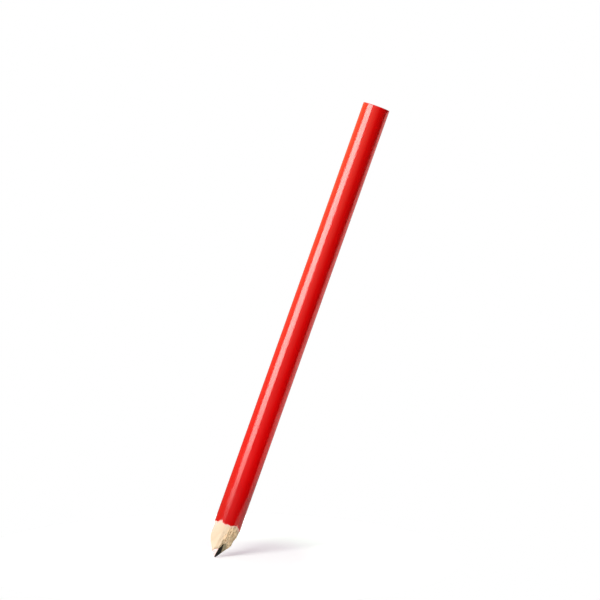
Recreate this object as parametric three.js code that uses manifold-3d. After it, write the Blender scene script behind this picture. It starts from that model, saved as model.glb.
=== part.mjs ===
// An oval carpenter's pencil with a knife-cut point, lying on one of its two broad faces.
// Millimetres. +X runs along the pencil to the point, +Y across its width, and +Z up from the surface it lies on.
// The origin is below the middle of the pencil, on that surface.
import * as THREE from "three";
import { mergeVertices } from "three/addons/utils/BufferGeometryUtils.js";
import Module from "manifold-3d";

const wasm = await Module();
wasm.setup();

// Driving dimensions of the finished pencil, over its lacquer
const overallLength = 176;
const barrelWidth = 10.1;
const barrelThickness = 7.0;

// The narrow flat down the middle of each broad face, on which the pencil lies without rolling
const broadFlat = 1.2;

// The coats, and the hairline of clearance that keeps neighbouring solids apart
const lacquerFilm = 0.13;
const undercoatFilm = 0.05;
const hairline = 0.02;

// The flat lead, the glue that beds it in its grooves, and the glue between the two slats
const leadWidth = 4.4;
const leadThickness = 2.0;
const leadCornerRadius = 0.8;
const bedFilm = 0.06;
const seamFilm = 0.1;

// Faces round each side of the oval between the two flats, and round each corner of the lead
const sideFaces = 58;
const cornerFaces = 6;

// The strokes that bare the wood and shape the point. turn is where a stroke is taken round the barrel, in
// degrees from the top towards +Y. start is how far from the point the blade enters the lacquer, and reach is
// how far from the axis it leaves the pencil at the point. The shallow ones only pare an edge: in place of reach
// they give pared, how far under the barrel's surface they leave it, and bite, how deep the blade dropped in as
// it entered, which left a step through the coats instead of a feathered edge.
const strokes = [
  { turn: -90, start: 12.4, bite: 0.24, pared: 0.45 },
  { turn: -90, start: 8.5, reach: 2.15 },
  { turn: -90, start: 7.0, reach: 0.98 },
  { turn: -60, start: 12.9, bite: 0.24, pared: 0.96 },
  { turn: -21, start: 14.1, reach: 0.83 },
  { turn: 0, start: 13.1, reach: 0.1 },
  { turn: 27, start: 13.6, reach: -0.28 },
  { turn: 45, start: 13.0, reach: -0.1 },
  { turn: 90, start: 12.2, reach: 3.25 },
  { turn: 90, start: 9.8, reach: 1.0 },
  { turn: 90, start: 7.9, reach: -0.25 },
  { turn: 122, start: 12.7, reach: 2.0 },
  { turn: 154, start: 13.3, reach: 0.25 },
  { turn: 179, start: 12.6, reach: 0.4 },
  { turn: -152, start: 13.2, reach: 0.9 },
  { turn: -120, start: 12.8, bite: 0.24, pared: 1.1 },
];

// Where the blade dug in on the rough side and tore a splinter out along the grain: end is how far from the
// point the splinter broke off, and depth how deep it tore there. The pitch is the angle of its bed to the axis.
const splinterWidth = 0.5;
const splinterPitch = 7;
const splinters = [
  { turn: 9, end: 11.8, depth: 0.22 },
  { turn: 13, end: 9.4, depth: 0.26 },
  { turn: 21, end: 10.9, depth: 0.3 },
  { turn: 29, end: 8.3, depth: 0.28 },
  { turn: 37, end: 11.2, depth: 0.34 },
  { turn: 47, end: 9.3, depth: 0.3 },
  { turn: 61, end: 10.6, depth: 0.24 },
];

// The block that each cut takes away, as long, wide and deep as the largest cut needs
const cutLength = 60;
const cutWidth = 30;
const cutDepth = 15;

// The half width and half thickness of each oval and strip, and how one lies inside or round another
const grown = (half, by) => ({ x: half.x + by, y: half.y + by });
const barrelOval = { x: barrelWidth / 2, y: barrelThickness / 2 };
const lacquerBore = grown(barrelOval, -lacquerFilm);
const undercoatOval = grown(lacquerBore, -hairline);
const undercoatBore = grown(undercoatOval, -undercoatFilm);
const woodOval = grown(undercoatBore, -hairline);

const lead = { x: leadWidth / 2, y: leadThickness / 2, r: leadCornerRadius };
const wrapped = (strip, by) => ({ ...grown(strip, by), r: strip.r + by });
const bedInner = wrapped(lead, hairline);
const bedOuter = wrapped(bedInner, bedFilm);
const groove = wrapped(bedOuter, hairline);

// Half the gap between the slats, which the glue seams fill
const seamHalfGap = seamFilm / 2 + hairline;

// The flat's edge, as an angle round the oval from its broad face, and the height that the whole oval would have
function flatEdge(oval) {
  return Math.asin(broadFlat / 2 / oval.x);
}

function fullHeight(oval) {
  return oval.y / Math.cos(flatEdge(oval));
}

// Points round a flattened oval: up one side from flat to flat, and down the other
function ovalPoints(oval) {
  const first = flatEdge(oval) - Math.PI / 2;
  const side = Array.from({ length: sideFaces + 1 }, (_, i) => {
    const angle = first * (1 - (2 * i) / sideFaces);
    return new THREE.Vector2(oval.x * Math.cos(angle), fullHeight(oval) * Math.sin(angle));
  });
  return [...side, ...side.map((p) => p.clone().negate())];
}

// The upper half of a strip's outline, over its two rounded corners, from one foot to the other
function archOver(path, strip, footHeight, side) {
  const shoulder = strip.y - strip.r;
  const start = side > 0 ? 0 : Math.PI;
  path.lineTo(side * strip.x, footHeight);
  path.lineTo(side * strip.x, shoulder);
  path.absarc(side * (strip.x - strip.r), shoulder, strip.r, start, Math.PI / 2, side < 0);
  path.absarc(side * (strip.r - strip.x), shoulder, strip.r, Math.PI / 2, Math.PI - start, side < 0);
  path.lineTo(-side * strip.x, footHeight);
}

// A section carried along the whole pencil, from the flat end at z = 0 to the point
function carried(shape) {
  const settings = { depth: overallLength, bevelEnabled: false, curveSegments: cornerFaces / 2 };
  return new THREE.ExtrudeGeometry(shape, settings);
}

// One coat: an oval tube
function coatBlank(outer, bore) {
  const ring = new THREE.Shape(ovalPoints(outer));
  ring.holes.push(new THREE.Path(ovalPoints(bore)));
  return carried(ring);
}

// The upper slat: the oval above the glue, with half the lead's groove in its underside
function slatBlank() {
  const edge = woodOval.x * Math.sqrt(1 - (seamHalfGap / fullHeight(woodOval)) ** 2);
  const crown = ovalPoints(woodOval).filter((p) => p.y > seamHalfGap);
  const slat = new THREE.Shape([new THREE.Vector2(edge, seamHalfGap), ...crown]);
  slat.lineTo(-edge, seamHalfGap);
  archOver(slat, groove, seamHalfGap, -1);
  return carried(slat);
}

// The upper bed: the film of glue round the upper half of the lead
function bedBlank() {
  const bed = new THREE.Shape();
  bed.moveTo(bedOuter.x, hairline / 2);
  archOver(bed, bedOuter, hairline / 2, 1);
  archOver(bed, bedInner, hairline / 2, -1);
  return carried(bed);
}

// The lead: a flat strip with rounded corners
function leadBlank() {
  const strip = new THREE.Shape();
  const x = lead.x - lead.r;
  const y = lead.y - lead.r;
  strip.absarc(x, -y, lead.r, -Math.PI / 2, 0);
  strip.absarc(x, y, lead.r, 0, Math.PI / 2);
  strip.absarc(-x, y, lead.r, Math.PI / 2, Math.PI);
  strip.absarc(-x, -y, lead.r, Math.PI, 1.5 * Math.PI);
  return carried(strip);
}

// The seam of glue to the right of the lead, from its groove to the outside of the wood
function seamBlank() {
  const height = seamFilm / 2;
  const inner = groove.x;
  const outer = woodOval.x - hairline;
  const corners = [[inner, -height], [outer, -height], [outer, height], [inner, height]];
  return carried(new THREE.Shape(corners.map(([x, y]) => new THREE.Vector2(x, y))));
}

// How far the barrel reaches from its axis, towards a direction round it
function barrelReach(turn) {
  const heights = ovalPoints(barrelOval).map((p) => p.x * Math.sin(turn) + p.y * Math.cos(turn));
  return Math.max(...heights);
}

// The direction of a stroke, its heights above the axis where the blade is in and at the point, and its fall
function strokeLine({ turn, start, reach, bite = 0, pared }) {
  const around = THREE.MathUtils.degToRad(turn);
  const surface = barrelReach(around);
  const entry = surface - bite;
  const exit = bite ? surface - pared : reach;
  return { around, entry, exit, slope: (entry - exit) / start };
}

// How far the cut point reaches from its axis, towards a direction round it and at a distance from its tip
function pointReach(turn, distance) {
  const reaches = strokes.map((stroke) => {
    const { around, exit, slope } = strokeLine(stroke);
    const facing = Math.cos(turn - around);
    return facing > 0 ? (exit + slope * distance) / facing : Infinity;
  });
  return Math.min(...reaches);
}

// A block whose underside runs towards the point from a height above the axis, falling by a pitch. The block
// reaches back behind that place by its overrun.
function cuttingBlock(width, overrun, pitch, height, distance, turn) {
  const block = new THREE.BoxGeometry(width, cutDepth, cutLength);
  block.translate(0, cutDepth / 2, cutLength / 2 - overrun);
  block.rotateX(pitch);
  block.translate(0, height, overallLength - distance);
  return block.rotateZ(-turn);
}

// A stroke with a bite starts square in the barrel, and the others come in from above it
function strokeBlock(stroke) {
  const { around, entry, slope } = strokeLine(stroke);
  const overrun = stroke.bite ? 0 : stroke.start;
  return cuttingBlock(cutWidth, overrun, Math.atan(slope), entry, stroke.start, around);
}

function splinterBlock({ turn, end, depth }) {
  const around = THREE.MathUtils.degToRad(turn);
  const bed = pointReach(around, end) - depth;
  return cuttingBlock(splinterWidth, 0, THREE.MathUtils.degToRad(splinterPitch), bed, end, around);
}

// A closed geometry as a manifold solid, and back
function solidOf(geometry) {
  const bare = geometry.clone();
  bare.deleteAttribute("normal");
  bare.deleteAttribute("uv");
  const merged = mergeVertices(bare);
  return new wasm.Manifold(
    new wasm.Mesh({
      numProp: 3,
      vertProperties: merged.attributes.position.array,
      triVerts: new Uint32Array(merged.index.array),
    }),
  );
}

function geometryOf(solid) {
  const { vertProperties, triVerts } = solid.getMesh();
  const indexed = new THREE.BufferGeometry();
  indexed.setAttribute("position", new THREE.BufferAttribute(vertProperties, 3));
  indexed.setIndex(new THREE.BufferAttribute(triVerts, 1));
  const faceted = indexed.toNonIndexed();
  faceted.computeVertexNormals();
  return faceted;
}

const shavings = [...strokes.map(strokeBlock), ...splinters.map(splinterBlock)]
  .map(solidOf)
  .reduce((all, block) => all.add(block));

// A blank with the knife's strokes taken off it
function sharpened(name, blank, look) {
  const cut = solidOf(blank).subtract(shavings);
  const mesh = new THREE.Mesh(geometryOf(cut), new THREE.MeshStandardMaterial(look));
  mesh.name = name;
  return mesh;
}

const wood = { color: 0xe9c99a, roughness: 0.75, metalness: 0 };
const graphite = { color: 0x35363a, roughness: 0.38, metalness: 0.35 };
const glue = { color: 0xd8b98a, roughness: 0.5, metalness: 0 };
const undercoat = { color: 0xe7b7a6, roughness: 0.6, metalness: 0 };
const lacquer = { color: 0xc8101a, roughness: 0.16, metalness: 0 };

const halfTurn = (blank) => blank.rotateZ(Math.PI);

const pencil = new THREE.Group();
pencil.add(
  sharpened("upper_slat", slatBlank(), wood),
  sharpened("lower_slat", halfTurn(slatBlank()), wood),
  sharpened("graphite_lead", leadBlank(), graphite),
  sharpened("upper_lead_bed", bedBlank(), glue),
  sharpened("lower_lead_bed", halfTurn(bedBlank()), glue),
  sharpened("right_glue_seam", seamBlank(), glue),
  sharpened("left_glue_seam", halfTurn(seamBlank()), glue),
  sharpened("undercoat", coatBlank(undercoatOval, undercoatBore), undercoat),
  sharpened("red_lacquer", coatBlank(barrelOval, lacquerBore), lacquer),
);

// Turned so that the pencil's length lies along +X and its thickness along +Z, and laid on the surface
pencil.quaternion.set(0.5, 0.5, 0.5, 0.5);
pencil.position.set(-overallLength / 2, 0, barrelOval.y);

export default pencil;
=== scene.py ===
import itertools
import math

import bmesh
import bpy
import numpy as np
from mathutils import Matrix, Vector


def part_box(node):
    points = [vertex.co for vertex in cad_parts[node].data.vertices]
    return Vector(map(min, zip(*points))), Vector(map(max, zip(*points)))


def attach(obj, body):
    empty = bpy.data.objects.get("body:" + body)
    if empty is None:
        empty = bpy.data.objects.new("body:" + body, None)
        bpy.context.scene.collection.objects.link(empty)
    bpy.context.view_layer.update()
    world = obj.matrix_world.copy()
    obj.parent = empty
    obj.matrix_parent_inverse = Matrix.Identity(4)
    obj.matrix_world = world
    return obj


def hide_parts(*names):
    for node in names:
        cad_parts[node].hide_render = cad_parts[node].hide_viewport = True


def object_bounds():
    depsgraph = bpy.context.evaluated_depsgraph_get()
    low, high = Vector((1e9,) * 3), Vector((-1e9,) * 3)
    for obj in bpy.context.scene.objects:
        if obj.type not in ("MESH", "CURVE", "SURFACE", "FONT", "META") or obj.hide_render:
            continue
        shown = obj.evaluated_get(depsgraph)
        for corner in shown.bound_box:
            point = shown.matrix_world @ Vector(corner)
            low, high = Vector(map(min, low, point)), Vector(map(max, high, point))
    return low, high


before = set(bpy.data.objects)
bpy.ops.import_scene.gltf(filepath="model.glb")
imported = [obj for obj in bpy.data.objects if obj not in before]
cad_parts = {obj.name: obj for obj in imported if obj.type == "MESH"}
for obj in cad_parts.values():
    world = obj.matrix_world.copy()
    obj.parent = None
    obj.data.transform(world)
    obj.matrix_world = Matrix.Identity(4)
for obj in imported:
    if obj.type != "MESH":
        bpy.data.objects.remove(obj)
cad_low, cad_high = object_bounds()

MM = 0.001
BODY = "root"


# Sizes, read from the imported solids
def half_sizes(node):
    """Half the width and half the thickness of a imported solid."""
    low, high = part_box(node)
    return np.array([high.y - low.y, high.z - low.z]) / 2 / MM


BUTT_X = cad_low.x / MM
TIP_X = cad_high.x / MM
OVERALL_LENGTH = TIP_X - BUTT_X
AXIS_HEIGHT = (cad_low.z + cad_high.z) / 2 / MM
BARREL = half_sizes("red_lacquer")
SEALED = half_sizes("undercoat")
WOOD = np.array([half_sizes("upper_slat")[0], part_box("upper_slat")[1].z / MM - AXIS_HEIGHT])
LEAD = half_sizes("graphite_lead")
BED = np.array([half_sizes("upper_lead_bed")[0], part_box("upper_lead_bed")[1].z / MM - AXIS_HEIGHT])
SEAM_HALF = half_sizes("right_glue_seam")[1]

# What the boxes don't tell: the lead's corners, the line between pieces that touch, and how far past the tip
# they run before they are cut
LEAD_CORNER = 0.8
JOINT_LINE = 0.004
PAST_TIP = 0.5

# The knife's strokes, as the solids have them: (turn, start, reach, torn, bite). turn is taken round the
# barrel from the top towards +Y, start is how far from the tip the blade enters, reach is how far from the
# axis it comes out, torn is how much the grain tore out under it, and bite is how deep it dropped in.
# Strokes with a bite are shallow, and their reach is taken down from the barrel's surface.
STROKES = [
    (-90, 12.4, 0.45, 0, 0.24),
    (-90, 8.5, 2.15, 0, 0),
    (-90, 7.0, 0.98, 0, 0),
    (-60, 12.9, 0.96, 0, 0.24),
    (-21, 14.1, 0.83, 0, 0),
    (0, 13.1, 0.1, 0.2, 0),
    (27, 13.6, -0.28, 1, 0),
    (45, 13.0, -0.1, 0.65, 0),
    (90, 12.2, 3.25, 0.55, 0),
    (90, 9.8, 1.0, 0.5, 0),
    (90, 7.9, -0.25, 0.4, 0),
    (122, 12.7, 2.0, 0.2, 0),
    (154, 13.3, 0.25, 0, 0),
    (179, 12.6, 0.4, 0, 0),
    (-152, 13.2, 0.9, 0, 0),
    (-120, 12.8, 1.1, 0, 0.24),
]

# The step behind a blade that dropped in, the length it rises over, and its line's raggedness, as waves per
# radian, length and seed
ENTRY_STEP = 0.6
ENTRY_SLOPE = 0.1
ENTRY_RAGGED = (2.2, 0.12, 31)

# The point: where its middle lies at the tip, over what distance it moves there from the axis, how blunt and
# how thin the tip is, how far back the cuts reach, and how the ridges between strokes are eased and lifted
TIP_MIDDLE = np.array([-0.68, -0.15])
MIDDLE_SHIFT_LENGTH = 12
TIP_ROUNDING = 0.42
THINNEST = 0.002
CUT_LENGTH = 15.2
RIDGE_ROUNDING = 0.012
RIDGE_LIFT = 0.3

# The step that the blade's corner left beside the highest place of the lacquer's edge: its stroke, where it
# rises across and along, and its height
NOTCHED_TURN = -21
NOTCH_ACROSS = (-2.3, -2.0)
NOTCH_ALONG = (12.2, 13.3)
NOTCH_HEIGHT = 0.19

# Where a splinter came out deeper, at the lead's upper corner and at the lacquer's edge, and where wood was
# left standing: beside that corner, on the right, over the lead's left corner and on the left. Each is
# (across the pencil, up from the axis, distance from the tip, width, length, lift).
SPLITS = [
    (1.15, 1.0, 5.1, 0.3, 0.8, -0.16),
    (1.6, 3.2, 12.7, 0.8, 0.9, -0.1),
    (2.2, 1.1, 6.3, 0.7, 1.0, 0.25),
    (2.8, -0.3, 5.2, 1.3, 2.3, 0.62),
    (-1.7, 0.9, 2.8, 0.9, 1.0, 0.22),
    (-4.9, 0.2, 8.9, 1.7, 2.4, 0.1),
]

# Torn fibres: bundles, as (width, run, height, seed), and the angle from the pencil's width that they lie
# in. A bundle wanders, starts at one level, falls along its run and breaks off. The runs are shifted.
FIBRE_BUNDLES = [(0.95, 4.6, 0.26, 3), (0.42, 2.6, 0.15, 7), (0.2, 1.5, 0.06, 11)]
FIBRE_LEAN = 40
BUNDLE_WANDER = 0.35
BUNDLE_START = 0.8
BUNDLE_FALL = 0.6
BUNDLE_BREAK = 0.92
BUNDLE_SHIFTS = 5

# Finer noise along the grain, as (length, width, height, seed), the distances from the tip over which torn
# and clean cuts gain their relief, and what a stroke's torn is multiplied by for that
TORN_FIBRES = (1.3, 0.09, 0.02, 19)
CLEAN_WAVES = (1.7, 2.3, 0.022, 23)
CLEAN_FIBRES = (1.6, 0.14, 0.006, 29)
CHIP_RAGGED = (0.5, 0.3, 0.02, 37)
TORN_ALONG = (2.0, 7.5)
CLEAN_ALONG = (0.3, 2)
TORN_GAIN = 1.6

# The dip along the lacquer's edge: its depth, and how far inside the barrel it is full and fades out
CHIP_DEPTH = 0.1
CHIP_FULL = 0.04
CHIP_FADE = (0.2, 0.6)

# The knife's body: how little a cut may face a direction and count, what stands for no cut, how far the body
# reaches, its stations from the tip, its columns, and its sleeve round the rest
LEAST_FACING = 0.02
UNCUT = 99.0
KNIFE_REACH = 8.0
TIP_STATIONS = [0, 0.02, 0.05, 0.09, 0.14, 0.2, 0.27, 0.34]
KNIFE_STATIONS = np.concatenate([TIP_STATIONS, np.arange(0.42, CUT_LENGTH, 0.06)])
KNIFE_COLUMNS = 420
KNIFE_SLEEVE = np.array([CUT_LENGTH + 0.1, OVERALL_LENGTH + 4])

# The coats: how round their rim is at the butt, and how their film swells and thins, as (length, waves round
# the barrel, height, seed)
LACQUER_RIM = 0.1
UNDERCOAT_RIM = 0.01
FILM_SWELL = (9, 2, 0.008, 41)

# How finely the pieces are drawn, and the least angle between two faces that is left as a sharp edge
OVAL_SIDES = 288
CORNER_POINTS = 10
RIM_POINTS = 6
COAT_STATIONS = 150
COAT_SIDES = 320
SHARP_ANGLE = 30

# The photograph's frame, the pixels of the tip and of the middle of the butt, and the camera, with its
# clipping in metres
IMAGE_SIZE = 600
TIP_PIXEL = (214.3, 556.9)
BUTT_PIXEL = (376.5, 106.7)
CAMERA_DISTANCE = 1220
CAMERA_TILT = 2.0
SENSOR = 36
CLIPPING = (0.1, 20)

# The softbox, and a second lamp that only lights and isn't mirrored: their turn round the pencil, distance,
# width and radiance, (x, share of that), and (x, share of the width that is masked off)
KEY = {
    "turn": -41, "distance": 500, "width": 339, "radiance": 10.5,
    "stops": [(-215, 1.0), (-100, 1.0), (-25, 0.94), (20, 0.82), (55, 0.62), (78, 0.13), (90, 0)],
    "taper": [(-215, 0), (5, 0), (29, 0.06), (60, 0.23), (80, 0.42), (90, 0.5)],
}
FILL = {
    "turn": -25, "distance": 600, "width": 260, "radiance": 0.5,
    "stops": [(-260, 1.0), (0, 0.85), (90, 0.65), (150, 0.6)], "taper": [(-260, 0), (150, 0)],
}

# Both lamps: their colour, and how soft the edge of their mask is
LAMP_COLOUR = (1, 0.985, 0.94, 1)
LAMP_SOFTNESS = 0.04

# The studio's brightness by turn round the pencil, and its share by how far a direction leans to the point
STUDIO = [
    (-180, 0.2), (-148, 0.35), (-135, (0.8, 1.0, 0.66)), (-70, (0.95, 1.2, 0.74)), (-25, 0.55), (-12, 0.68),
    (0, 0.53), (12, 0.28), (27, 0.04), (60, 0.02), (180, 0.02),
]
STUDIO_FALL = [
    (-0.25, (1.1, 1.25, 0.8)), (-0.075, (1.0, 1.12, 0.72)), (-0.038, (0.7, 0.76, 0.6)),
    (-0.011, (0.52, 0.54, 0.5)), (0.007, 0.36), (0.02, 0.26), (0.25, 0.26),
]
LEAN_SPAN = 0.25

# The pale wall: its brightness by turn, the turn of its edge and how soft that is, how much further round it
# lies by lean, up to which lean, and how it dims past the point, as (from, to, what is left)
WALL = [
    (50, (4.2, 1.2, 1.1)), (110, (4.2, 1.2, 1.1)), (140, (1.9, 0.7, 0.65)), (155, (0.6, 0.28, 0.25)),
    (180, 0.2),
]
WALL_EDGE = 66
WALL_SOFTNESS = 4
WALL_LEAN = 270
WALL_LEAN_TO = 0.007
WALL_DIM = (0.009, 0.022, 0.3)

# All of this: its strength, over which leans it loses its colours behind the butt, and what share of its
# brightness lights matt surfaces
STUDIO_STRENGTH = 1.18
COLOURLESS_LEAN = (-0.13, -0.3)
UNMIRRORED_LIGHT = (0.45, 0.42, 0.42)

# The floor at the tip: how steeply it is seen, its radius and sides, how far below the tip it lies, its own
# colour, what the backdrop adds to it by distance from the tip, and what is added where it is mirrored
FLOOR_RISE = 6.5
FLOOR_RADIUS = 90
FLOOR_SIDES = 96
FLOOR_GAP = 0.3
FLOOR_COLOUR = (0.75, 0.85, 0.81, 1)
FLOOR_WHITE = [
    (0, (0.355, 0.27, 0.335)), (32, (0.355, 0.27, 0.335)), (48, (0.485, 0.465, 0.475)),
    (60, (0.56, 0.52, 0.54)), (70, (0.82, 0.8, 0.81)), (76, (1, 1, 1)), (90, (1, 1, 1)),
]
FLOOR_MIRRORED = (0.7, 0.22, 0.24, 1)

# Finishes. Colours are linear. Streaks are (length, width, shift), patches (size, cover, shift) and specks
# (spacing, dot). What goes by something is (how much more for 1, how much for 0). Other tuples are ranges:
# (from, to), and what they give at their ends if not 0 and 1. A relief is a height, or a range that gives
# one. The sawn end is told by the distance from the butt's face.
SAWN_RANGE = (0.03, 0.005)

# Wood: the middles of the growth rings lie outside the pencil, as (y, z), and each slat has its own shift
EARLY_WOOD = (0.84, 0.66, 0.505, 1)
LATE_WOOD = (0.74, 0.52, 0.345, 1)
TORN_WOOD = (0.98, 0.72, 0.485, 1)
# Painted shade: the brown that the hollows of torn wood are darkened to
TORN_HOLLOW_SHADE = (0.52, 0.31, 0.16, 1)
SAWN_WOOD = (0.76, 0.5, 0.31, 1)
SOAKED_WOOD = (0.95, 0.62, 0.56, 1)
WOOD_PORE = (0.4, 0.26, 0.14, 1)
UPPER_PITH = (-13.0, 17.0)
LOWER_PITH = (21.0, -9.0)
UPPER_SHIFT = 0.0
LOWER_SHIFT = 31.0
RING_WIDTH = 1.3
RING_WANDER = 1.6
WANDER_STREAKS = (45, 6, 0.0)
FINE_STREAKS = (6, 0.11, 3.1)
COARSE_STREAKS = (3.2, 0.42, 7.7)
PORE_STREAKS = (2.2, 0.08, 11.3)
LATE_START = (0.3, 0.92)
LATE_END = (0.94, 1.0, 1, 0)
LATE_TONE = 0.3
FINE_TONE = (0.35, 0.7, 0, 0.3)
TORN_TONE = (0.1, 0.6)
# Where the painted shade of torn hollows lies along the coarse streaks, and how much of it by tornness
HOLLOW_SHADE_PLACE = (0.48, 0.64)
HOLLOW_SHADE_SHARE = (0.3, 0.9, 0.35, 0.95)
PORE_TONE = (0.66, 0.74, 0, 0.4)
SAWN_TONE = (0, 1, 0.45, 0.95)
SOAKED_TONE = (0.945, 0.985, 0, 0.75)
DUST_BY_TORN = (0.45, 0.2)
WOOD_ROUGHNESS = (0.3, 0.7, 0.58, 0.7)
TORN_ROUGHNESS = 0.12
FINE_RELIEF = (0.2, 0.8, 0, 0.012)
COARSE_RELIEF = (0.3, 0.7, 0.05, 0)
SAW_RELIEF = 0.008
SAW_LEAN = 0.2
SAW_WAVES = 17

# Lacquer: darker by distance from the tip, a painted shade where the light falls off there, and worn at its
# rim by distance from the butt. Its relief is the film's swell, its peel and the grain below.
RED = (0.77, 0.0013, 0.0019, 1)
DEEP_RED = (0.71, 0.001, 0.0015, 1)
# Painted shade: the red that the lacquer darkens to near the tip, where the light falls off
TIP_SHADE_RED = (0.54, 0.001, 0.0015, 1)
BROKEN_RED = (0.72, 0.045, 0.035, 1)
RED_STREAKS = (70, 1.3, 2.0)
RED_TONE = (0.35, 0.65)
TIP_SHADE_RANGE = (44, 10)
TIP_SHADE_STREAKS = (8, 1.1, 10.0)
TIP_SHADE_TONE = (0.3, 0.7, 0.85, 1)
WORN_RANGE = (0.32, 0.04)
WORN_PATCHES = (0.9, 0.4, 5.0)
WORN_SHARE = 0.3
HELD_PATCHES = (8.0, 0.45, 1.0)
ROUGHNESS_BY_HOLD = (0.05, 0.115)
BROKEN_ROUGHNESS = 0.35
LACQUER_RELIEF = [((5.5, 3.2, 4.0), 0.02), ((1.0, 0.8, 6.0), 0.002), ((26, 0.4, 8.0), 0.003)]
NIB_SPECKS = (3.2, 0.12)
NIB_RELIEF = 0.012

# Undercoat
PALE_COAT = (0.88, 0.58, 0.5, 1)
PINK_COAT = (0.8, 0.42, 0.36, 1)
BLED_PATCHES = (0.5, 0.5, 0.0)
CHALK_STREAKS = (0.6, 0.15, 9.0)
CHALK_ROUGHNESS = (0.3, 0.7, 0.55, 0.72)
CHALK_RELIEF = 0.01

# The lead's colours by how torn each stroke is: grey where drawn clean, a near-white silver on the facet
# that mirrors the softbox, which is a painted highlight, a greenish grey where it broke, partly a painted
# sheen, and black where it crumbled, partly painted shade of the groove. Along the same steps it has a
# metallic share and a roughness.
# Painted light: the silver stop is a painted highlight, the greenish greys partly a painted sheen, the black
# partly painted shade
LEAD_COLOURS_AND_SHEEN = [
    (0.0, (0.8, 0.8, 0.82)), (0.1, (0.88, 0.88, 0.9)), (0.17, (0.95, 0.95, 0.97)),
    (0.27, (0.92, 0.92, 0.93)), (0.37, (0.32, 0.3, 0.2)), (0.72, (0.2, 0.185, 0.115)),
    (0.8, (0.012, 0.011, 0.009)), (1.0, (0.01, 0.01, 0.008)),
]
LEAD_METALLIC = [(0.0, 0.8), (0.2, 1), (0.4, 0.35), (0.72, 0.25), (0.8, 0), (1, 0)]
LEAD_ROUGHNESS = [(0.0, 0.36), (0.2, 0.24), (0.4, 0.4), (0.72, 0.45), (0.8, 0.8), (1, 0.8)]

# The lead's scratches and grit, how far across the black of crumbled graphite and painted groove shade may
# reach, over what width that ends and how torn it may be on each side of that, and its sawn end
SCRATCH_STREAKS = (2.4, 0.07, 2.0)
SCRATCH_STATE = 0.12
SCRATCH_ASIDE = 0.9
GRIT_PATCHES = (0.35, 0.5, 3.0)
GRIT_TONE = 0.1
GRIT_ROUGHNESS = 0.06
LEAD_RELIEF = 0.006
# How far across the black, partly painted shade of the groove, may reach
CRUMBLED_SHADE_TO = 1.46
CRUMBLED_SHADE_EDGE = 0.12
CRUMBLED_SHADE_STATES = (1.1, 0.5)
SAWN_LEAD = (0.07, 0.07, 0.072, 1)
SAWN_LEAD_ROUGHNESS = 0.6

# Glue, and graphite dust. On glue that is given by how far it reaches and how much of it there is.
GLUE = (0.76, 0.57, 0.35, 1)
DARK_GLUE = (0.6, 0.41, 0.22, 1)
GLUE_STREAKS = (3.0, 0.3, 4.0)
GLUE_TONE = (0.35, 0.65)
GLUE_ROUGHNESS = (0.3, 0.7, 0.4, 0.55)
BUBBLE_SPECKS = (0.4, 0.05)
BUBBLE_RELIEF = -0.02
LEAD_DUST = (0.09, 0.088, 0.085, 1)
DUST_STREAKS = (1.6, 0.12, 0.0)
DUST_TONE = (0.35, 0.6, 0.3, 1)
GLUE_DUST = (0.12, 0.5)

# Patches lie where noise is over a level, by their cover, with a soft edge. Specks have one too, and lie in
# cells over a level.
PATCH_LEVEL = (-0.35, 0.65)
PATCH_EDGE = (-0.06, 0.08)
SPECK_EDGE = (0, 0.8)
SPECK_LEVEL = 0.55


# Repeatable noise
def cell_value(cell, seed):
    """A repeatable value from 0 to 1 for each whole-numbered cell: the fraction of a large sine."""
    mixed = np.sin(cell @ np.array([127.1, 311.7, 74.7]) + 17.13 * seed) * 43758.5453
    return mixed - np.floor(mixed)


def soft_noise(points, seed):
    """Noise from -1 to 1: the values of the eight cells round each point, blended with an eased weight."""
    cell = np.floor(points)
    part = points - cell
    ease = part * part * (3 - 2 * part)
    total = np.zeros(points.shape[:-1])
    for corner in itertools.product((0, 1), repeat=3):
        near = np.array(corner)
        weight = np.prod(np.where(near, ease, 1 - ease), axis=-1)
        total += weight * cell_value(cell + near, seed)
    return 2 * total - 1


def stacked(*parts):
    """Arrays put side by side as the last axis, each spread to the same shape."""
    return np.stack(np.broadcast_arrays(*parts), axis=-1)


def grained(pattern, y, z, distance):
    """Soft noise drawn out along the grain, from its length, width, height and seed."""
    length, width, height, seed = pattern
    return height * soft_noise(stacked(distance / length, y / width, z / width), seed)


def ramp(value, start, end):
    """0 below start, 1 above end, with an eased slope between them."""
    part = np.clip((value - start) / (end - start), 0, 1)
    return part * part * (3 - 2 * part)


# The cut point, as a surface round the pencil's length
def barrel_reach(turn):
    """How far the barrel's oval reaches towards a turn: the root of the summed squared reaches."""
    return np.hypot(BARREL[0] * np.sin(turn), BARREL[1] * np.cos(turn))


def point_middle(distance):
    """The middle of the point's section, which moves from the tip's place to the axis over the cut."""
    share = np.clip(1 - distance / MIDDLE_SHIFT_LENGTH, 0, 1)
    return TIP_MIDDLE * share[..., None]


def stroke_reach(stroke, around, distance):
    """How far one stroke's plane lies from the middle, towards each turn: its height over the axis at that
    distance from the tip, less the middle's own share of it, over the cosine between the two directions.
    Behind the place where a blade dropped in there is no cut."""
    turn, start, reach, _, bite = stroke
    turn = math.radians(turn)
    normal = np.array([math.sin(turn), math.cos(turn)])
    surface = barrel_reach(turn)
    reach = surface - reach if bite else reach
    height = reach + (surface - bite - reach) * distance / start - point_middle(distance) @ normal
    if bite:
        waves, ragged, seed = ENTRY_RAGGED
        entered = distance + ragged * soft_noise(stacked(waves * around, 0 * around, 0 * around), seed)
        height = height + ENTRY_STEP * ramp(entered, start, start + ENTRY_SLOPE)
    facing = np.cos(around - turn)
    return np.where(facing > LEAST_FACING, height / np.maximum(facing, LEAST_FACING), UNCUT)


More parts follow.
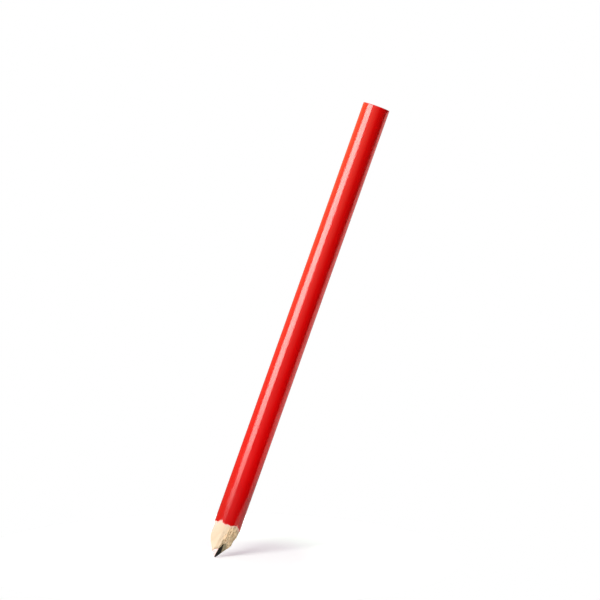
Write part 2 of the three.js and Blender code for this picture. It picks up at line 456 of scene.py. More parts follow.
def depth_in_barrel(place):
    """How deep a place lies in the barrel's oval: one less its level, over the level's slope."""
    level = np.sqrt(((place / BARREL) ** 2).sum(axis=-1))
    slope = np.sqrt(((place / BARREL**2) ** 2).sum(axis=-1)) / level
    return (1 - level) / slope


def chipped_off(place, distance):
    """How much further the brittle lacquer chips out along the edge of a cut: a shallow dip that starts at a
    slightly ragged line and has faded out where the cut is well into the wood."""
    depth = depth_in_barrel(place) + grained(CHIP_RAGGED, place[..., 0], place[..., 1], distance)
    return CHIP_DEPTH * ramp(depth, 0, CHIP_FULL) * (1 - ramp(depth, *CHIP_FADE))


def torn_depth(y, z, distance):
    """How far torn wood stands above a clean cut: bundles of fibres that each run level with the axis for a
    while and then break off, in three sizes, with fine fibres on top."""
    lean = math.radians(FIBRE_LEAN)
    across = y * math.cos(lean) - z * math.sin(lean)
    total = np.zeros(np.shape(distance))
    for width, run, height, seed in FIBRE_BUNDLES:
        wander = soft_noise(stacked(distance / run, across / width, 0 * across), seed + 1)
        bundle = np.floor(across / width + BUNDLE_WANDER * wander)
        step = distance / run + cell_value(stacked(bundle, 0 * bundle, 0 * bundle), seed) * BUNDLE_SHIFTS
        part = step - np.floor(step)
        level = cell_value(stacked(bundle, np.floor(step), 0 * bundle), seed + 2)
        fallen = ramp(part, 0, BUNDLE_BREAK) * BUNDLE_FALL
        risen = ramp(part, BUNDLE_BREAK, 1) * BUNDLE_FALL
        total += height * (BUNDLE_START - fallen + risen - level)
    return total + grained(TORN_FIBRES, y, z, distance)


def clean_depth(y, z, distance):
    """The slight waves and fibres that a sharp blade leaves on a clean cut."""
    return grained(CLEAN_WAVES, y, z, distance) + grained(CLEAN_FIBRES, y, z, distance)


def split_depth(y, z, distance):
    """The lift of the named splits: each a round bell over the section times one along the grain."""
    total = np.zeros(np.shape(distance))
    for across, up, from_tip, width, length, lift in SPLITS:
        aside = np.hypot(y - across, z - up) / width
        along = (distance - from_tip) / length
        total += lift * np.exp(-(aside**2) - along**2)
    return total


def point_reach(around, distance):
    """How far the cut point reaches from its middle, and how torn it is: the nearest of all the strokes,
    each lifted or lowered by its own tears and chips, with the ridges between them eased."""
    middle = point_middle(distance)
    direction = stacked(np.sin(around), np.cos(around))
    plain = np.stack([stroke_reach(stroke, around, distance) for stroke in STROKES])
    place = middle + plain.min(axis=0)[..., None] * direction
    y, z = place[..., 0], place[..., 1]
    torn = torn_depth(y, z, distance) * ramp(distance, *TORN_ALONG)
    clean = clean_depth(y, z, distance) * ramp(distance, *CLEAN_ALONG)
    notch = NOTCH_HEIGHT * ramp(y, *NOTCH_ACROSS) * ramp(distance, *NOTCH_ALONG)
    left_standing = split_depth(y, z, distance) - chipped_off(place, distance)
    reaches = []
    for (turn, _, _, tornness, _), reach in zip(STROKES, plain):
        share = min(1, TORN_GAIN * tornness)
        lift = clean * (1 - share) + torn * share + left_standing
        if turn == NOTCHED_TURN:
            lift = lift + notch
        reaches.append(reach + lift)
    reaches = np.array(reaches)
    closest = reaches.min(axis=0)
    shares = np.exp(-(reaches - closest) / RIDGE_ROUNDING)
    eased = closest - RIDGE_ROUNDING * (np.log(shares.sum(axis=0)) - RIDGE_LIFT)
    torn_share = np.tensordot([stroke[3] for stroke in STROKES], shares, 1) / shares.sum(axis=0)
    blunt = np.clip(1 - distance / TIP_ROUNDING, 0, 1)
    return eased * np.sqrt(np.maximum(1 - blunt**2, THINNEST)), torn_share


# Meshes
def in_scene(name, data):
    """An object for a mesh, lamp or camera, put into the scene."""
    made = bpy.data.objects.new(name, data)
    bpy.context.scene.collection.objects.link(made)
    return made


def new_object(name, points, faces):
    """A mesh object from points in millimetres and lists of corner numbers, with its faces pointing out."""
    mesh = bpy.data.meshes.new(name)
    mesh.from_pydata((np.asarray(points) * MM).tolist(), [], faces)
    shell = bmesh.new()
    shell.from_mesh(mesh)
    bmesh.ops.recalc_face_normals(shell, faces=shell.faces)
    shell.to_mesh(mesh)
    shell.free()
    return in_scene(name, mesh)


def quads(rows, columns, ring=False):
    """The quads between neighbouring rows of a grid. Columns wrap round, and rows do too on a ring."""
    row, column = np.meshgrid(np.arange(rows if ring else rows - 1), np.arange(columns), indexing="ij")
    above, beside = (row + 1) % rows, (column + 1) % columns
    places = [(row, column), (row, beside), (above, beside), (above, column)]
    return np.stack([r * columns + c for r, c in places], axis=-1).reshape(-1, 4).tolist()


def number_faces(mesh, number):
    """Gives all of a mesh's faces one material number of two, which tells a cut piece's faces apart."""
    while len(mesh.materials) < 2:
        mesh.materials.append(None)
    mesh.polygons.foreach_set("material_index", np.full(len(mesh.polygons), number, np.int32))


def knife_body():
    """The space inside all the strokes: the point's reach on a grid of distance from the tip and turn, then
    a sleeve wider than the barrel back past the butt, closed by a flat at each end."""
    around = np.linspace(0, 2 * np.pi, KNIFE_COLUMNS, endpoint=False)
    far, turn = np.meshgrid(KNIFE_STATIONS, around, indexing="ij")
    reach, _ = point_reach(turn, far)
    reach = np.minimum(reach, KNIFE_REACH)
    far = np.concatenate([far, np.repeat(KNIFE_SLEEVE[:, None], KNIFE_COLUMNS, axis=1)])
    reach = np.concatenate([reach, np.full((2, KNIFE_COLUMNS), KNIFE_REACH)])
    turn = np.concatenate([turn, turn[:2]])
    middle = point_middle(far)
    x = TIP_X - far
    y = middle[..., 0] + reach * np.sin(turn)
    z = AXIS_HEIGHT + middle[..., 1] + reach * np.cos(turn)
    caps = np.arange(far.size).reshape(far.shape)[[0, -1]].tolist()
    points = np.stack([x, y, z], axis=-1).reshape(-1, 3)
    knife = new_object("knife", points, quads(len(far), KNIFE_COLUMNS) + caps)
    number_faces(knife.data, 1)
    return knife


def oval(half):
    """An oval outline: the half width times the sine and the half thickness times the cosine of a turn."""
    turn = np.linspace(0, 2 * np.pi, OVAL_SIDES, endpoint=False)
    return np.column_stack([half[0] * np.sin(turn), half[1] * np.cos(turn)])


def strip_arch(half, corner, foot):
    """The upper half of a rounded strip's outline, from its right foot to its left: two quarter circles."""
    turn = np.radians(np.linspace(0, 90, CORNER_POINTS))
    right = half - corner + corner * np.column_stack([np.cos(turn), np.sin(turn)])
    left = right[::-1] * [-1, 1]
    return np.concatenate([[[half[0], foot]], right, left, [[-half[0], foot]]])


def carried(name, outline, turned=False):
    """A section carried along the whole pencil, with a flat at each end; turned gives the lower half."""
    outline = np.asarray(outline) * (-1 if turned else 1)
    count = len(outline)
    ends = [np.column_stack([np.full(count, x), outline[:, 0], AXIS_HEIGHT + outline[:, 1]])
            for x in (BUTT_X, TIP_X + PAST_TIP)]
    caps = [list(range(count)), list(range(count, 2 * count))]
    return new_object(name, np.concatenate(ends), quads(2, count) + caps)


def slat_blank(name, turned):
    """Half the barrel's wood, with half the lead's groove along the middle of its flat side."""
    face = SEAM_HALF + JOINT_LINE / 2
    crown = oval(WOOD - JOINT_LINE)
    crown = crown[crown[:, 1] > face]
    crown = crown[np.argsort(crown[:, 0])][::-1]
    edge = (WOOD[0] - JOINT_LINE) * math.sqrt(1 - (face / WOOD[1]) ** 2)
    groove = strip_arch(BED + JOINT_LINE, LEAD_CORNER + BED[1] - LEAD[1], face)
    outline = np.concatenate([[[edge, face]], crown, [[-edge, face]], groove[::-1]])
    return carried(name, outline, turned)


def bed_blank(name, turned):
    """The film of glue round half the lead."""
    outer = strip_arch(BED, LEAD_CORNER + BED[1] - LEAD[1], JOINT_LINE / 2)
    inner = strip_arch(LEAD + JOINT_LINE, LEAD_CORNER, JOINT_LINE / 2)
    return carried(name, np.concatenate([outer, inner[::-1]]), turned)


def seam_blank(name, turned):
    """The film of glue between the slats, on one side of the lead."""
    inner, outer = BED[0] + JOINT_LINE, WOOD[0] - 2 * JOINT_LINE
    corners = [[inner, -SEAM_HALF], [outer, -SEAM_HALF], [outer, SEAM_HALF], [inner, SEAM_HALF]]
    return carried(name, corners, turned)


def lead_blank(name):
    """The lead: a flat strip with rounded corners."""
    arch = strip_arch(LEAD, LEAD_CORNER, 0)[1:-1]
    return carried(name, np.concatenate([arch, -arch]))


def coat_blank(name, outer, bore, rim):
    """A coat round the barrel: stations along its outer side, from a rounded rim at the butt to past the
    tip, then its bore on the way back. The film swells and thins a little, as a dipped coat does."""
    turn = np.radians(np.linspace(90, 0, RIM_POINTS))
    stations = np.linspace(BUTT_X + rim, TIP_X + PAST_TIP, COAT_STATIONS)[1:]
    x = np.concatenate([BUTT_X + rim * (1 - np.sin(turn)), stations])
    sink = np.concatenate([rim * (1 - np.cos(turn)), 0 * stations])
    around = np.linspace(0, 2 * np.pi, COAT_SIDES, endpoint=False)
    unit = np.column_stack([np.sin(around), np.cos(around)])
    normal = unit / outer
    normal /= np.linalg.norm(normal, axis=1)[:, None]
    length, waves, height, seed = FILM_SWELL
    film = height * (soft_noise(stacked(x[:, None] / length, *(waves * unit.T[:, None, :])), seed) - 1)
    offset = film - sink[:, None]
    skin = (unit * outer)[None] + normal[None] * offset[..., None]
    skin = np.concatenate([np.broadcast_to(x[:, None, None], skin.shape[:2] + (1,)), skin], axis=-1)
    bored = [np.column_stack([np.full(len(unit), end), unit * bore]) for end in (TIP_X + PAST_TIP, BUTT_X)]
    points = np.concatenate([skin, np.stack(bored)]) + [0, 0, AXIS_HEIGHT]
    return new_object(name, points.reshape(-1, 3), quads(len(points), len(unit), ring=True))


def read(items, name, kind, count=1):
    """What each of a mesh's items says for one of its values, as an array."""
    values = np.zeros(len(items) * count, kind)
    items.foreach_get(name, values)
    return values


def mark_cut(mesh):
    """Two attributes for the finishes: "torn", how torn the wood is at each point, and "cut", 1 on each face
    that the knife made. The edges between those faces and the others are marked sharp."""
    places = read(mesh.vertices, "co", float, 3).reshape(-1, 3) / MM
    distance = np.clip(TIP_X - places[:, 0], 0, CUT_LENGTH)
    section = places[:, 1:] - [0, AXIS_HEIGHT] - point_middle(distance)
    _, torn = point_reach(np.arctan2(section[:, 0], section[:, 1]), distance)
    mesh.attributes.new("torn", "FLOAT", "POINT").data.foreach_set("value", torn.astype(np.float32))

    cut = read(mesh.polygons, "material_index", np.int32)
    mesh.attributes.new("cut", "FLOAT", "FACE").data.foreach_set("value", cut.astype(np.float32))
    sides = read(mesh.polygons, "loop_total", np.int32)
    edges = read(mesh.loops, "edge_index", np.int32)
    cut_faces = np.bincount(edges, weights=np.repeat(cut, sides), minlength=len(mesh.edges))
    sharp = read(mesh.edges, "use_edge_sharp", bool)
    mesh.edges.foreach_set("use_edge_sharp", sharp | (cut_faces == 1))


def sharpened(blank, knife, replaced, finish):
    """A blank with everything outside the knife's strokes cut away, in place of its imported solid."""
    number_faces(blank.data, 0)
    cut = blank.modifiers.new("cut", "BOOLEAN")
    cut.operation = "INTERSECT"
    cut.solver = "MANIFOLD"
    cut.object = knife
    shaped = bpy.data.meshes.new_from_object(blank.evaluated_get(bpy.context.evaluated_depsgraph_get()))
    blank.modifiers.clear()
    blank.data = shaped
    shaped.shade_smooth()
    shaped.set_sharp_from_angle(angle=math.radians(SHARP_ANGLE))
    mark_cut(shaped)
    number_faces(shaped, 0)
    shaped.materials.clear()
    shaped.materials.append(finish)
    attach(blank, BODY)
    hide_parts(replaced)


# Shader nodes
def emptied(owner):
    """The node tree of a material, lamp or world, with no nodes in it."""
    owner.use_nodes = True
    owner.node_tree.nodes.clear()
    return owner.node_tree


def node(tree, kind, **values):
    """A shader node. A value goes to the setting of that name, or else to the socket of that name, where a
    double underscore stands for a space, or to the socket of that number after an underscore. A socket given
    as a value is linked."""
    made = tree.nodes.new("ShaderNode" + kind)
    for name, value in values.items():
        if name in made.bl_rna.properties and name not in made.inputs:
            setattr(made, name, value)
            continue
        socket = made.inputs[int(name[1:])] if name[0] == "_" else made.inputs[name.replace("__", " ")]
        if isinstance(value, bpy.types.NodeSocket):
            tree.links.new(value, socket)
        else:
            socket.default_value = value
    return made


def tree_of(*values):
    """The tree of nodes that the sockets among some values belong to."""
    return next(value.id_data for value in values if isinstance(value, bpy.types.NodeSocket))


def worked(operation, *values, kind="Math"):
    """One step of arithmetic on values and sockets."""
    inputs = {f"_{place}": value for place, value in enumerate(values)}
    return node(tree_of(*values), kind, operation=operation, **inputs).outputs[0]


def product(*values):
    """The product of values and sockets."""
    total = values[0]
    for value in values[1:]:
        total = worked("MULTIPLY", total, value)
    return total


def without(value):
    """One less a value."""
    return worked("SUBTRACT", 1, value)


def vectored(operation, *values):
    """One step of arithmetic on vectors, which gives a vector, or for a length or distance a value."""
    results = worked(operation, *values, kind="VectorMath").node.outputs
    return results["Value" if operation in ("LENGTH", "DISTANCE") else "Vector"]


def vector_of(**parts):
    """A vector from its parts, by name."""
    return node(tree_of(*parts.values()), "CombineXYZ", **parts).outputs[0]


def parts_of(vector):
    """The three parts of a vector, by name."""
    return node(vector.id_data, "SeparateXYZ", Vector=vector).outputs


def spread(value, start, end, low=0.0, high=1.0):
    """A value taken from one range to another, eased, and held inside it."""
    limits = {"From__Min": start, "From__Max": end, "To__Min": low, "To__Max": high}
    made = node(value.id_data, "MapRange", interpolation_type="SMOOTHSTEP", Value=value, **limits)
    return made.outputs[0]


def blended(share, first, second):
    """Two colours mixed by a share of the second."""
    return node(share.id_data, "Mix", data_type="RGBA", _0=share, _6=first, _7=second).outputs[2]


def shades(share, stops, first=0, last=1):
    """A colour ramp over a share from 0 to 1, from (place, colour) stops between a first and a last place. A
    plain number stands for a grey."""
    made = node(share.id_data, "ValToRGB", Fac=share)
    elements = made.color_ramp.elements
    while len(elements) > 1:
        elements.remove(elements[-1])
    for number, (place, colour) in enumerate(stops):
        share = (place - first) / (last - first)
        element = elements[0] if number == 0 else elements.new(share)
        element.position = share
        colour = colour if isinstance(colour, tuple) else (colour,) * 3
        element.color = (*colour, 1)
    return made.outputs["Color"]


# Effects that several finishes share. Places and sizes in them are in millimetres.
def effect(name, given, result):
    """An empty node group with a Place and other inputs, as (name, value), and one output. Returns its tree,
    the sockets that carry the inputs, and the one that takes the output."""
    tree = bpy.data.node_groups.new(name, "ShaderNodeTree")
    tree.interface.new_socket(name="Place", in_out="INPUT", socket_type="NodeSocketVector")
    for label, value in given:
        socket = tree.interface.new_socket(name=label, in_out="INPUT", socket_type="NodeSocketFloat")
        socket.default_value = value
    tree.interface.new_socket(name=result, in_out="OUTPUT", socket_type="NodeSocketFloat")
    return tree, tree.nodes.new("NodeGroupInput").outputs, tree.nodes.new("NodeGroupOutput").inputs[result]


def long_streaks():
    """Noise drawn out along the pencil, as grain, fibres and the marks of dipping and drawing are. Length
    and Width are those of one streak, and Shift moves the pattern."""
    tree, given, result = effect("long_streaks", [("Length", 10), ("Width", 1), ("Shift", 0)], "Value")
    across = worked("DIVIDE", 1, given["Width"])
    stretch = vector_of(X=worked("DIVIDE", 1, given["Length"]), Y=across, Z=across)
    drawn = vectored("MULTIPLY", given["Place"], stretch)
    moved = vectored("ADD", drawn, given["Shift"])
    noise = node(tree, "TexNoise", Vector=moved, Scale=1.0, Detail=3.0, Roughness=0.55)
    tree.links.new(noise.outputs[0], result)
    return tree


def soft_patches():
    """A mask of soft patches of one Size, where hands, blades or brushes touched a surface more. Cover is
    the share of the surface that they take."""
    tree, given, result = effect("soft_patches", [("Size", 5), ("Cover", 0.5), ("Shift", 0)], "Mask")
    scale = worked("DIVIDE", 1, given["Size"])
    moved = vectored("ADD", given["Place"], given["Shift"])
    noise = node(tree, "TexNoise", Vector=moved, Scale=scale, Detail=2.0, Roughness=0.5)
    level = worked("MULTIPLY_ADD", given["Cover"], *PATCH_LEVEL)
    over = worked("SUBTRACT", noise.outputs[0], level)
    tree.links.new(spread(over, *PATCH_EDGE), result)
    return tree


def fine_specks():
    """A mask of small round specks, at most one in each Spacing, each Dot wide: near a cell's own point."""
    tree, given, result = effect("fine_specks", [("Spacing", 2), ("Dot", 0.1)], "Mask")
    scale = worked("DIVIDE", 1, given["Spacing"])
    cells = node(tree, "TexVoronoi", Vector=given["Place"], Scale=scale)
    away = product(cells.outputs["Distance"], given["Spacing"])
    nearness = without(worked("DIVIDE", away, given["Dot"]))
    kept = worked("GREATER_THAN", parts_of(cells.outputs["Color"])["X"], SPECK_LEVEL)
    tree.links.new(product(spread(nearness, *SPECK_EDGE), kept), result)
    return tree


def lead_dust():
    """A mask of graphite dust: thickest at the lead's side, gone within Spread of it, and broken up by
    fibres. That side is where the distance to the lead's inner strip is the radius of its corners."""
    tree, given, result = effect("lead_dust", [("Spread", 0.4), ("Amount", 0.6)], "Mask")
    place = parts_of(given["Place"])
    beside = worked("SUBTRACT", worked("ABSOLUTE", place["Y"]), LEAD[0] - LEAD_CORNER)
    above = worked("ABSOLUTE", worked("SUBTRACT", place["Z"], AXIS_HEIGHT))
    above = worked("SUBTRACT", above, LEAD[1] - LEAD_CORNER)
    away = vectored("LENGTH", vector_of(X=worked("MAXIMUM", beside, 0), Y=worked("MAXIMUM", above, 0)))
    away = worked("DIVIDE", worked("SUBTRACT", away, LEAD_CORNER), given["Spread"])
    thick = spread(away, 0, 1, 1, 0)
    fibres = spread(placed(STREAKS, given["Place"], *DUST_STREAKS), *DUST_TONE)
    tree.links.new(product(thick, fibres, given["Amount"]), result)
    return tree


def placed(effect, place, *values):
    """An effect placed in a finish, with values for its other inputs in their order."""
    inputs = {f"_{number}": value for number, value in enumerate(values, 1)}
    return node(place.id_data, "Group", node_tree=effect, Place=place, **inputs).outputs[0]


STREAKS = long_streaks()
PATCHES = soft_patches()
SPECKS = fine_specks()
DUST = lead_dust()


# Finishes
def finish_named(name, **uniform):
    """A new material with one Principled shader, whose uniform values are set on its own sockets. Returns it
    with its shader, and the place on the pencil in millimetres."""
    material = bpy.data.materials.new(name)
    tree = emptied(material)
    shader = node(tree, "BsdfPrincipled", **uniform)
    node(tree, "OutputMaterial", Surface=shader.outputs["BSDF"])
    place = vectored("MULTIPLY", node(tree, "TexCoord").outputs["Object"], (1 / MM,) * 3)
    return material, shader, place


def joined(shader, colour, roughness, heights):
    """Links a finish's colour and roughness, and the sum of its heights in millimetres as bump."""
    total = heights[0]
    for height in heights[1:]:
        total = worked("ADD", total, height)
    tree = shader.id_data
    bump = node(tree, "Bump", Strength=1.0, Distance=MM, Height=total)
    tree.links.new(colour, shader.inputs["Base Color"])
    tree.links.new(roughness, shader.inputs["Roughness"])
    tree.links.new(bump.outputs["Normal"], shader.inputs["Normal"])


def marked(place, name):
    """The value of one of the attributes that mark_cut writes."""
    return node(place.id_data, "Attribute", attribute_name=name).outputs["Fac"]


def at_butt(place, reach=SAWN_RANGE):
    """A mask of the sawn end, or of what lies within another reach of it."""
    return spread(parts_of(place)["X"], *(BUTT_X + away for away in reach))


def wood_finish(name, pith, shift):
    """Pale straight-grained wood. Growth rings round a far pith run as lines along the pencil and as arcs
    over its sawn end, fibres and pores lie along it, torn places are browner in their hollows, which is
    painted shade, the coats have soaked in along their edge, and the lead has left dust beside it."""
    material, shader, place = finish_named(name, IOR=1.5, Specular__IOR__Level=0.3)
    parts = parts_of(place)
    torn = marked(place, "torn")
    butt = at_butt(place)

    def grain(streaks):
        length, width, own_shift = streaks
        return placed(STREAKS, place, length, width, own_shift + shift)

    section = vector_of(Y=parts["Y"], Z=parts["Z"])
    radius = vectored("DISTANCE", section, (0, *pith))
    wandered = worked("MULTIPLY_ADD", grain(WANDER_STREAKS), RING_WANDER, radius)
    ring = worked("FRACT", worked("DIVIDE", wandered, RING_WIDTH))
    late = product(spread(ring, *LATE_START), spread(ring, *LATE_END))

    fine = grain(FINE_STREAKS)
    coarse = grain(COARSE_STREAKS)
    tone = worked("MULTIPLY_ADD", late, LATE_TONE, spread(fine, *FINE_TONE))
    clean = blended(tone, EARLY_WOOD, LATE_WOOD)
    # Painted shade in the hollows of torn wood
    hollow_shade = product(spread(coarse, *HOLLOW_SHADE_PLACE), spread(torn, *HOLLOW_SHADE_SHARE))
    rough = blended(hollow_shade, TORN_WOOD, TORN_HOLLOW_SHADE)
    colour = blended(spread(torn, *TORN_TONE), clean, rough)
    pores = spread(grain(PORE_STREAKS), *PORE_TONE)
    colour = blended(pores, colour, WOOD_PORE)
    colour = blended(product(butt, spread(late, *SAWN_TONE)), colour, SAWN_WOOD)
    level = vectored("DIVIDE", vectored("SUBTRACT", section, (0, 0, AXIS_HEIGHT)), (1, *WOOD))
    level = vectored("LENGTH", level)
    soaked = product(spread(level, *SOAKED_TONE), without(butt))
    colour = blended(soaked, colour, SOAKED_WOOD)
    dust = worked("MULTIPLY_ADD", torn, *DUST_BY_TORN)
    colour = blended(placed(DUST, place, dust, dust), colour, LEAD_DUST)

    roughness = worked("MULTIPLY_ADD", torn, TORN_ROUGHNESS, spread(fine, *WOOD_ROUGHNESS))
    slant = worked("MULTIPLY_ADD", parts["Y"], SAW_LEAN, parts["Z"])
    saw = worked("SINE", product(slant, SAW_WAVES))
    heights = [
        spread(fine, *FINE_RELIEF),
        product(spread(coarse, *COARSE_RELIEF), torn),
        product(saw, SAW_RELIEF, butt),
    ]
    joined(shader, colour, roughness, heights)
    return material


def lacquer_finish():
    """Deep glossy red, dipped: faint streaks along the barrel, a slow swell and a fine peel in the film, the
    grain below showing in the reflections, dust nibs, and dulled patches where it was held. It is darker
    towards the cut, a painted shade where the light falls off near the tip, with a paler matt break where
    the knife or the saw chipped it."""
    material, shader, place = finish_named("red_lacquer_finish", IOR=1.54)
    worn = product(at_butt(place, WORN_RANGE), placed(PATCHES, place, *WORN_PATCHES), WORN_SHARE)
    broken = worked("MAXIMUM", marked(place, "cut"), worn)
    colour = blended(spread(placed(STREAKS, place, *RED_STREAKS), *RED_TONE), DEEP_RED, RED)
    # Painted shade, darker towards the tip where the light falls off, broken up by streaks
    tip_shade = spread(parts_of(place)["X"], *(TIP_X - away for away in TIP_SHADE_RANGE))
    tip_shade = product(tip_shade, spread(placed(STREAKS, place, *TIP_SHADE_STREAKS), *TIP_SHADE_TONE))
    colour = blended(tip_shade, colour, TIP_SHADE_RED)
    colour = blended(broken, colour, BROKEN_RED)
    roughness = worked("MULTIPLY_ADD", placed(PATCHES, place, *HELD_PATCHES), *ROUGHNESS_BY_HOLD)
    roughness = worked("MULTIPLY_ADD", broken, BROKEN_ROUGHNESS, roughness)
    heights = [product(placed(STREAKS, place, *streaks), height) for streaks, height in LACQUER_RELIEF]
    heights.append(product(placed(SPECKS, place, *NIB_SPECKS), NIB_RELIEF))
    joined(shader, colour, roughness, heights)
    return material


def undercoat_finish():
    """A thin chalky coat, pale, and pinker where the red has bled into it."""
    material, shader, place = finish_named("undercoat_finish", IOR=1.5)
    chalk = placed(STREAKS, place, *CHALK_STREAKS)
    colour = blended(placed(PATCHES, place, *BLED_PATCHES), PALE_COAT, PINK_COAT)
    roughness = spread(chalk, *CHALK_ROUGHNESS)
    joined(shader, colour, roughness, [product(chalk, CHALK_RELIEF)])
    return material


def lead_finish():
    """Graphite and clay: a near-white mirror on the facet that takes the softbox, a painted highlight,
    greenish grey where it broke, partly a painted sheen, and black and dull where it crumbled, partly
    painted shade of the groove, with fine scratches along the cut, and dark and dull again at the sawn end."""
    material, shader, place = finish_named("lead_finish", IOR=1.4, Specular__IOR__Level=0.25)
    scratches = placed(STREAKS, place, *SCRATCH_STREAKS)
    grit = placed(PATCHES, place, *GRIT_PATCHES)
    butt = at_butt(place)
    jitter = product(worked("SUBTRACT", scratches, 0.5), SCRATCH_STATE)
    state = worked("ADD", marked(place, "torn"), jitter)
    across = worked("MULTIPLY_ADD", scratches, SCRATCH_ASIDE, parts_of(place)["Y"])
    limit = spread(across, CRUMBLED_SHADE_TO, CRUMBLED_SHADE_TO + CRUMBLED_SHADE_EDGE, *CRUMBLED_SHADE_STATES)
    state = worked("MINIMUM", state, limit)
    # Painted highlight, sheen and shade on the lead, by the stroke that cut each facet
    colour = shades(state, LEAD_COLOURS_AND_SHEEN)
    colour = blended(product(grit, GRIT_TONE), colour, SAWN_LEAD)
    colour = blended(butt, colour, SAWN_LEAD)
    metallic = product(shades(state, LEAD_METALLIC), without(butt))
    sawn = product(butt, SAWN_LEAD_ROUGHNESS)
    roughness = worked("MAXIMUM", shades(state, LEAD_ROUGHNESS), sawn)
    roughness = worked("MULTIPLY_ADD", grit, GRIT_ROUGHNESS, roughness)
    shader.id_data.links.new(metallic, shader.inputs["Metallic"])
    heights = [product(pattern, LEAD_RELIEF) for pattern in (scratches, grit)]
    joined(shader, colour, roughness, heights)
    return material


def glue_finish():
    """Dried glue: amber, uneven, with small bubbles, and greyed beside the lead."""
    material, shader, place = finish_named("glue_finish", IOR=1.48)
    uneven = placed(STREAKS, place, *GLUE_STREAKS)
    colour = blended(spread(uneven, *GLUE_TONE), GLUE, DARK_GLUE)
    colour = blended(placed(DUST, place, *GLUE_DUST), colour, LEAD_DUST)
    roughness = spread(uneven, *GLUE_ROUGHNESS)
    bubbles = product(placed(SPECKS, place, *BUBBLE_SPECKS), BUBBLE_RELIEF)
    joined(shader, colour, roughness, [bubbles])
    return material


# Camera, light and floor
def photo_camera():
    """The camera at the photograph's angle: tilted a little towards the point, and placed, turned and zoomed
    so that the tip and the middle of the butt fall on their pixels. Returns its right, up and back."""
    tilt = math.radians(CAMERA_TILT)
    back = np.array([math.sin(tilt), 0, math.cos(tilt)])
    along = np.array([-math.cos(tilt), 0, math.sin(tilt)])
    across = np.array([0, 1.0, 0])
    tip = np.array([TIP_X, TIP_MIDDLE[0], AXIS_HEIGHT + TIP_MIDDLE[1]])
    butt = np.array([BUTT_X, 0, AXIS_HEIGHT])
    tip_picture, butt_picture = [
        np.array([x - IMAGE_SIZE / 2, IMAGE_SIZE / 2 - y]) for x, y in (TIP_PIXEL, BUTT_PIXEL)
    ]
    butt_distance = CAMERA_DISTANCE - (butt - tip) @ back
    pictured = butt_picture * butt_distance - tip_picture * CAMERA_DISTANCE
    flat = np.array([(butt - tip) @ across, (butt - tip) @ along])
    focal = np.hypot(*pictured) / np.hypot(*flat)
    roll = math.atan2(pictured[0], pictured[1]) - math.atan2(flat[0], flat[1])
    right = math.cos(roll) * across + math.sin(roll) * along
    up = math.cos(roll) * along - math.sin(roll) * across
    aside = (right * tip_picture[0] + up * tip_picture[1]) * CAMERA_DISTANCE / focal
    place = Vector((tip - aside + back * CAMERA_DISTANCE) * MM)
    data = bpy.data.cameras.new("camera")
    data.sensor_width = SENSOR
    data.lens = focal * SENSOR / IMAGE_SIZE
    data.clip_start, data.clip_end = CLIPPING
    camera = in_scene("camera", data)
    camera.matrix_world = Matrix.Translation(place) @ Matrix(np.column_stack([right, up, back])).to_4x4()
    bpy.context.scene.camera = camera
    return right, up, back


def softbox(name, turn, distance, width, radiance, stops, taper):
    """A soft lamp beside the pencil, parallel to it and facing its axis."""
    first, last = stops[0][0], stops[-1][0]
    data = bpy.data.lights.new(name, "AREA")
    data.shape = "RECTANGLE"
    data.size = (last - first) * MM
    data.size_y = width * MM
    data.energy = radiance * math.pi * data.size * data.size_y
    tree = emptied(data)
    face = parts_of(node(tree, "NewGeometry").outputs["Parametric"])
    inside = worked("SUBTRACT", face["Y"], shades(face["X"], taper, first, last))
    strength = product(shades(face["X"], stops, first, last), spread(inside, 0, LAMP_SOFTNESS))
    glow = node(tree, "Emission", Color=LAMP_COLOUR, Strength=strength)
    node(tree, "OutputLight", Surface=glow.outputs[0])
    lamp = in_scene(name, data)
    turn = math.radians(turn)
    outward = Vector((0, math.sin(turn), math.cos(turn)))
    sideways = Vector((1, 0, 0))
    axes = Matrix([sideways, outward.cross(sideways), outward]).transposed().to_4x4()
    place = Vector(((first + last) / 2, 0, AXIS_HEIGHT)) * MM + outward * distance * MM
    lamp.matrix_world = Matrix.Translation(place) @ axes
    lamp.visible_camera = False
    return lamp


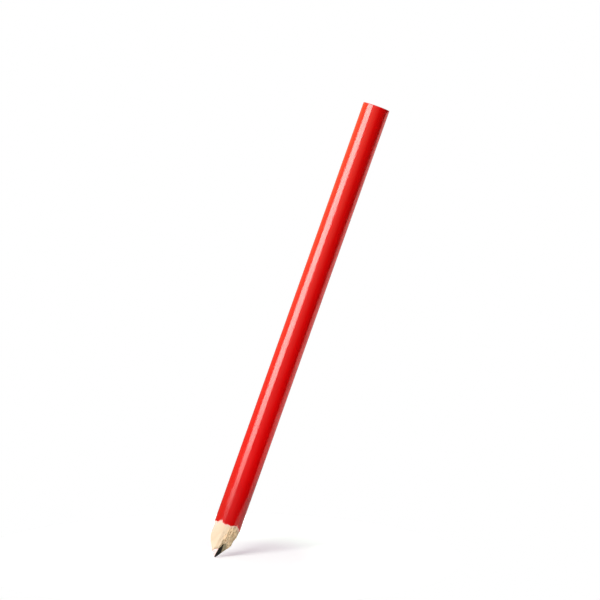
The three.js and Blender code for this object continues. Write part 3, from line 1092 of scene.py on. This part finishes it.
def studio_surroundings():
    """A white backdrop for the camera, and for every other ray the studio's brightness round the pencil: the
    open studio, brighter towards the butt, and a pale wall behind and to the right, whose edge lies further
    round for what the butt mirrors. What lies far behind the butt has no colours, and matt surfaces get a
    share of the brightness alone."""
    world = bpy.data.worlds.new("studio")
    tree = emptied(world)
    parts = parts_of(node(tree, "TexCoord").outputs["Generated"])
    degrees = product(worked("ARCTAN2", parts["Y"], parts["Z"]), 180 / math.pi)
    share = worked("MULTIPLY_ADD", degrees, 1 / 360, 0.5)
    along = worked("MULTIPLY_ADD", parts["X"], 0.5 / LEAN_SPAN, 0.5)
    studio = shades(share, STUDIO, -180, 180)
    fall = shades(along, STUDIO_FALL, -LEAN_SPAN, LEAN_SPAN)
    wall = shades(share, WALL, -180, 180)
    lean = worked("MINIMUM", parts["X"], WALL_LEAN_TO)
    leaned = worked("MULTIPLY_ADD", lean, WALL_LEAN, degrees)
    edge = spread(leaned, WALL_EDGE - WALL_SOFTNESS, WALL_EDGE + WALL_SOFTNESS)
    dim_from, dim_to, dimmed = WALL_DIM
    edge = product(edge, spread(parts["X"], dim_from, dim_to, 1, dimmed))
    open_light = vectored("MULTIPLY", studio, fall)
    wall_light = vectored("MULTIPLY", wall, edge)
    both = vectored("ADD", open_light, wall_light)
    path = node(tree, "LightPath").outputs
    brightness = node(tree, "RGBToBW", Color=both).outputs[0]
    matt = vectored("MULTIPLY", UNMIRRORED_LIGHT, brightness)
    mirrored = blended(spread(parts["X"], *COLOURLESS_LEAN), both, brightness)
    seen = blended(path["Is Diffuse Ray"], mirrored, matt)
    surroundings = node(tree, "Background", Color=seen, Strength=STUDIO_STRENGTH)
    backdrop = node(tree, "Background", Color=(1, 1, 1, 1), Strength=1.0)
    camera = path["Is Camera Ray"]
    shown = node(tree, "MixShader", _0=camera, _1=surroundings.outputs[0], _2=backdrop.outputs[0])
    node(tree, "OutputWorld", Surface=shown.outputs[0])
    bpy.context.scene.world = world


def tip_floor(right, up, back):
    """The pale floor that the pencil stands on: a flat disc at the tip that only shows its upper side. The
    backdrop's light is added to its own, so that it is white but for the pencil's shadow."""
    rise = math.radians(FLOOR_RISE)
    normal = up * math.cos(rise) + back * math.sin(rise)
    front = back * math.cos(rise) - up * math.sin(rise)
    turn = np.linspace(0, 2 * np.pi, FLOOR_SIDES, endpoint=False)
    centre = np.array([TIP_X, TIP_MIDDLE[0], AXIS_HEIGHT + TIP_MIDDLE[1]]) - normal * FLOOR_GAP
    rim = centre + FLOOR_RADIUS * (np.outer(np.cos(turn), right) + np.outer(np.sin(turn), -front))
    mesh = bpy.data.meshes.new("tip_floor")
    mesh.from_pydata((rim * MM).tolist(), [], [list(range(len(rim)))])
    material = bpy.data.materials.new("pale_floor")
    mesh.materials.append(material)
    tree = emptied(material)
    from_tip = vectored("DISTANCE", node(tree, "TexCoord").outputs["Object"], tuple(centre * MM))
    outward = worked("DIVIDE", from_tip, FLOOR_RADIUS * MM)
    added = shades(outward, FLOOR_WHITE, 0, FLOOR_RADIUS)
    path = node(tree, "LightPath").outputs
    added = blended(path["Is Glossy Ray"], added, FLOOR_MIRRORED)
    lit = node(tree, "BsdfDiffuse", Color=FLOOR_COLOUR)
    white = node(tree, "Emission", Color=added, Strength=1.0)
    both = node(tree, "AddShader", _0=lit.outputs[0], _1=white.outputs[0])
    shown = worked("MAXIMUM", path["Is Camera Ray"], path["Is Glossy Ray"])
    seen = node(tree, "MixShader", _0=shown, _1=lit.outputs[0], _2=both.outputs[0])
    clear = node(tree, "BsdfTransparent")
    behind = node(tree, "NewGeometry").outputs["Backfacing"]
    surface = node(tree, "MixShader", _0=behind, _1=seen.outputs[0], _2=clear.outputs[0])
    node(tree, "OutputMaterial", Surface=surface.outputs[0])
    floor = in_scene("tip_floor", mesh)


right, up, back = photo_camera()
softbox("key", **KEY)
fill = softbox("fill", **FILL)
fill.visible_glossy = False
studio_surroundings()
tip_floor(right, up, back)

knife = knife_body()
top_wood = wood_finish("upper_slat_wood", UPPER_PITH, UPPER_SHIFT)
bottom_wood = wood_finish("lower_slat_wood", LOWER_PITH, LOWER_SHIFT)
glue = glue_finish()
lacquer_blank = coat_blank("lacquer_coat", BARREL, SEALED + JOINT_LINE, LACQUER_RIM)
undercoat_blank = coat_blank("sealing_coat", SEALED, WOOD + JOINT_LINE, UNDERCOAT_RIM)
sharpened(lacquer_blank, knife, "red_lacquer", lacquer_finish())
sharpened(undercoat_blank, knife, "undercoat", undercoat_finish())
sharpened(slat_blank("top_slat", False), knife, "upper_slat", top_wood)
sharpened(slat_blank("bottom_slat", True), knife, "lower_slat", bottom_wood)
sharpened(lead_blank("lead"), knife, "graphite_lead", lead_finish())
sharpened(bed_blank("top_bed", False), knife, "upper_lead_bed", glue)
sharpened(bed_blank("bottom_bed", True), knife, "lower_lead_bed", glue)
sharpened(seam_blank("right_seam", False), knife, "right_glue_seam", glue)
sharpened(seam_blank("left_seam", True), knife, "left_glue_seam", glue)
bpy.data.objects.remove(knife)

bpy.context.scene.view_settings.view_transform = "Standard"
